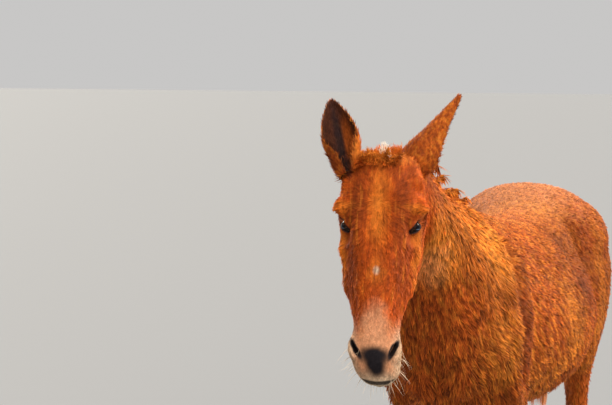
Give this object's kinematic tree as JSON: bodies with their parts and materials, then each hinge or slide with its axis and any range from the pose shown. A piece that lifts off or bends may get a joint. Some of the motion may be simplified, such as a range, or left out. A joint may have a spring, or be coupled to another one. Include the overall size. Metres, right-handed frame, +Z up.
{
  "type": "mule",
  "caption": "Standing mule at life size, head turned slightly to its left, one ear upright and one swung back, with separate hooves and eyes.",
  "frame": {"origin": "on the ground, at the middle of the animal's bounding box seen from above", "axes": "-Y is the way the animal faces, +X its left side, +Z up"},
  "size_m": [0.5944, 2.1, 1.6771],
  "materials": {
    "coat": "chestnut winter coat",
    "ear": "short hair over cartilage",
    "tail": "coarse long hair",
    "eye": "wet gloss",
    "horn": "dark hoof horn"
  },
  "bodies": {
    "root": {"head": "coat", "neck": "coat", "torso": "coat", "foreleg_left": "coat", "foreleg_right": "coat", "hindleg_left": "coat", "hindleg_right": "coat", "ear_left": "ear", "ear_right": "ear", "eye_left": "eye", "eye_right": "eye", "tail": "tail", "hoof_fore_left": "horn", "hoof_fore_right": "horn", "hoof_hind_left": "horn", "hoof_hind_right": "horn"}
  },
  "joints": []
}
